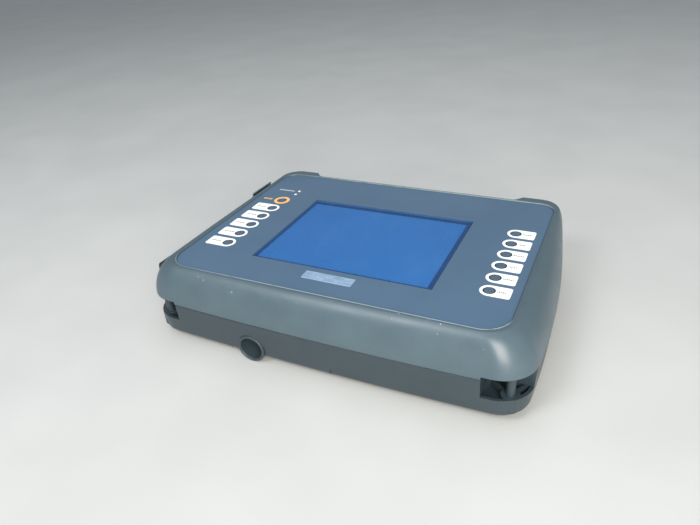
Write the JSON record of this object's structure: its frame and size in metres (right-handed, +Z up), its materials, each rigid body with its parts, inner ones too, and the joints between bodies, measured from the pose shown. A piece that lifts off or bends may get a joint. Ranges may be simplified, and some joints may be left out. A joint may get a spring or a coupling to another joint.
{
  "type": "data collector",
  "caption": "Rugged hand-held data collector with a colour display, soft keys on both sides, input sockets, corner strap posts, probe tube and battery bay.",
  "frame": {"origin": "middle of the bounding box on the surface that the feet stand on", "axes": "+X to the user's right, +Y to the far side with the sockets, +Z up out of the display"},
  "size_m": [0.2818, 0.199, 0.0584],
  "materials": {
    "case_plastic": "fine satin moulding texture, rubbed pale along the rim",
    "overlay_film": "fine matt hard-coated film",
    "key_film": "fine matt hard-coated film",
    "white_print": "satin print",
    "orange_print": "satin print",
    "window_clear": "clear gloss",
    "border_print": "gloss print",
    "lcd_glass": "gloss",
    "plated_steel": "bright plated",
    "fastener_steel": "satin plated",
    "diffuser_white": "matt",
    "lamp_lens": "milky gloss",
    "label_silver": "satin foil",
    "circuit_board": "solder-resist gloss",
    "black_moulding": "matt",
    "ribbon_film": "film gloss",
    "panel_aluminium": "satin painted",
    "socket_nickel": "nickel plated",
    "port_black": "satin anodised look",
    "contact_brass": "gold flash",
    "black_rubber": "matt rubber"
  },
  "bodies": {
    "housing": {"front_shell": "case_plastic", "rear_shell": "case_plastic", "housing_gasket": "black_rubber", "keypad_overlay": "overlay_film", "key_surrounds": "white_print", "power_key_ring": "orange_print", "display_window": "window_clear", "window_border": "border_print", "lcd_bezel": "plated_steel", "lcd_panel": "lcd_glass", "backlight_panel": "diffuser_white", "status_lamps": "lamp_lens", "name_plate": "label_silver", "keypad_board": "circuit_board", "snap_domes": "plated_steel", "main_board": "circuit_board", "main_board_chips": "black_moulding", "board_standoffs": "plated_steel", "inverter_board": "circuit_board", "coin_cell": "plated_steel", "display_ribbon": "ribbon_film", "sounder": "black_moulding", "input_board": "circuit_board", "connector_panel": "panel_aluminium", "data_port": "port_black", "panel_screws": "plated_steel", "coax_socket_1": "socket_nickel", "coax_socket_2": "socket_nickel", "coax_socket_3": "socket_nickel", "coax_socket_4": "socket_nickel", "card_socket": "plated_steel", "power_socket": "port_black", "probe_tube": "case_plastic", "battery_pack": "black_moulding", "battery_contacts": "contact_brass", "battery_door": "case_plastic", "door_gasket": "black_rubber", "strap_posts": "case_plastic", "housing_screws": "plated_steel", "rubber_feet": "black_rubber", "rating_plate": "label_silver"},
    "key_left_1_body": {"key_left_1": "key_film"},
    "key_left_2_body": {"key_left_2": "key_film"},
    "key_left_3_body": {"key_left_3": "key_film"},
    "key_left_4_body": {"key_left_4": "key_film"},
    "key_left_5_body": {"key_left_5": "key_film"},
    "key_left_6_body": {"key_left_6": "key_film"},
    "key_right_1_body": {"key_right_1": "key_film"},
    "key_right_2_body": {"key_right_2": "key_film"},
    "key_right_3_body": {"key_right_3": "key_film"},
    "key_right_4_body": {"key_right_4": "key_film"},
    "key_right_5_body": {"key_right_5": "key_film"},
    "key_right_6_body": {"key_right_6": "key_film"},
    "card_door_body": {"card_door": "case_plastic"},
    "power_cover_body": {"power_cover": "black_rubber"},
    "door_fastener_left_body": {"door_fastener_left": "fastener_steel"},
    "door_fastener_right_body": {"door_fastener_right": "fastener_steel"}
  },
  "joints": [
    {"name": "key_left_1_press", "type": "slide", "parent": "housing", "child": "key_left_1_body", "axis": [0, 0, -1], "range_m": [0, 0.0006], "stiffness_N_per_m": 2500, "springref_m": -0.0001},
    {"name": "key_left_2_press", "type": "slide", "parent": "housing", "child": "key_left_2_body", "axis": [0, 0, -1], "range_m": [0, 0.0006], "stiffness_N_per_m": 2500, "springref_m": -0.0001},
    {"name": "key_left_3_press", "type": "slide", "parent": "housing", "child": "key_left_3_body", "axis": [0, 0, -1], "range_m": [0, 0.0006], "stiffness_N_per_m": 2500, "springref_m": -0.0001},
    {"name": "key_left_4_press", "type": "slide", "parent": "housing", "child": "key_left_4_body", "axis": [0, 0, -1], "range_m": [0, 0.0006], "stiffness_N_per_m": 2500, "springref_m": -0.0001},
    {"name": "key_left_5_press", "type": "slide", "parent": "housing", "child": "key_left_5_body", "axis": [0, 0, -1], "range_m": [0, 0.0006], "stiffness_N_per_m": 2500, "springref_m": -0.0001},
    {"name": "key_left_6_press", "type": "slide", "parent": "housing", "child": "key_left_6_body", "axis": [0, 0, -1], "range_m": [0, 0.0006], "stiffness_N_per_m": 2500, "springref_m": -0.0001},
    {"name": "key_right_1_press", "type": "slide", "parent": "housing", "child": "key_right_1_body", "axis": [0, 0, -1], "range_m": [0, 0.0006], "stiffness_N_per_m": 2500, "springref_m": -0.0001},
    {"name": "key_right_2_press", "type": "slide", "parent": "housing", "child": "key_right_2_body", "axis": [0, 0, -1], "range_m": [0, 0.0006], "stiffness_N_per_m": 2500, "springref_m": -0.0001},
    {"name": "key_right_3_press", "type": "slide", "parent": "housing", "child": "key_right_3_body", "axis": [0, 0, -1], "range_m": [0, 0.0006], "stiffness_N_per_m": 2500, "springref_m": -0.0001},
    {"name": "key_right_4_press", "type": "slide", "parent": "housing", "child": "key_right_4_body", "axis": [0, 0, -1], "range_m": [0, 0.0006], "stiffness_N_per_m": 2500, "springref_m": -0.0001},
    {"name": "key_right_5_press", "type": "slide", "parent": "housing", "child": "key_right_5_body", "axis": [0, 0, -1], "range_m": [0, 0.0006], "stiffness_N_per_m": 2500, "springref_m": -0.0001},
    {"name": "key_right_6_press", "type": "slide", "parent": "housing", "child": "key_right_6_body", "axis": [0, 0, -1], "range_m": [0, 0.0006], "stiffness_N_per_m": 2500, "springref_m": -0.0001},
    {"name": "card_door_hinge", "type": "hinge", "parent": "housing", "child": "card_door_body", "pos_m": [-0.13248, 0.05079, 0.0354], "axis": [-0.1374, -0.9905, 0], "range_deg": [0, 100]},
    {"name": "power_cover_hinge", "type": "hinge", "parent": "housing", "child": "power_cover_body", "pos_m": [-0.1389, -0.0531, 0.039], "axis": [0, 0, -1], "range_deg": [0, 95]},
    {"name": "door_fastener_left_turn", "type": "hinge", "parent": "housing", "child": "door_fastener_left_body", "pos_m": [-0.0209, 0.0025, 0.005], "axis": [0, 0, -1], "range_deg": [0, 90]},
    {"name": "door_fastener_right_turn", "type": "hinge", "parent": "housing", "child": "door_fastener_right_body", "pos_m": [0.0851, 0.0025, 0.005], "axis": [0, 0, -1], "range_deg": [0, 90]}
  ]
}
